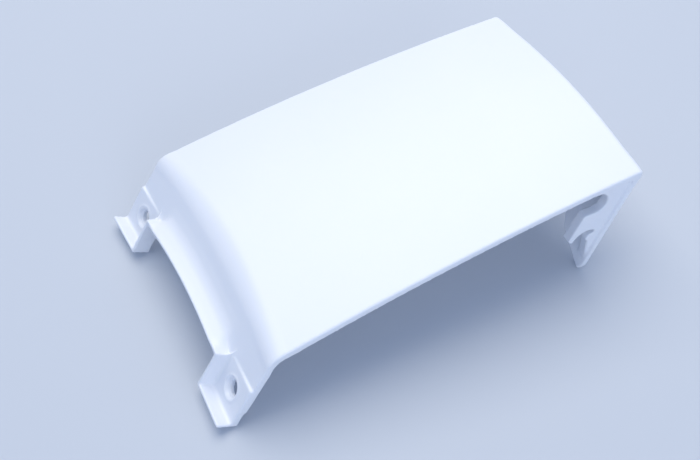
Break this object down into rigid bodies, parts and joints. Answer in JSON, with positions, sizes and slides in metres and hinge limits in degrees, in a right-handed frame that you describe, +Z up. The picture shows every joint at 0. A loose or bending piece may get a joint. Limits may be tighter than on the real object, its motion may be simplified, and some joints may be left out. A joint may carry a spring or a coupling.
{
  "type": "motorcycle tail fairing",
  "caption": "Moulded tail cover for a motorcycle: an arched, crowned shell with a flared front lip between screw ears and a leaning rear flange with slotted side brackets.",
  "frame": {"origin": "middle of the part's outline on the ground, where the ear feet and the flange's legs stand", "axes": "+X from the ears to the rear flange, +Y across the panel, +Z up out of the crowned face"},
  "size_m": [0.1904, 0.1194, 0.0526],
  "materials": {
    "shell": "white, unpainted injection moulded ABS with a soft satin gloss"
  },
  "bodies": {
    "root": {"tail_fairing": "shell"}
  },
  "joints": []
}
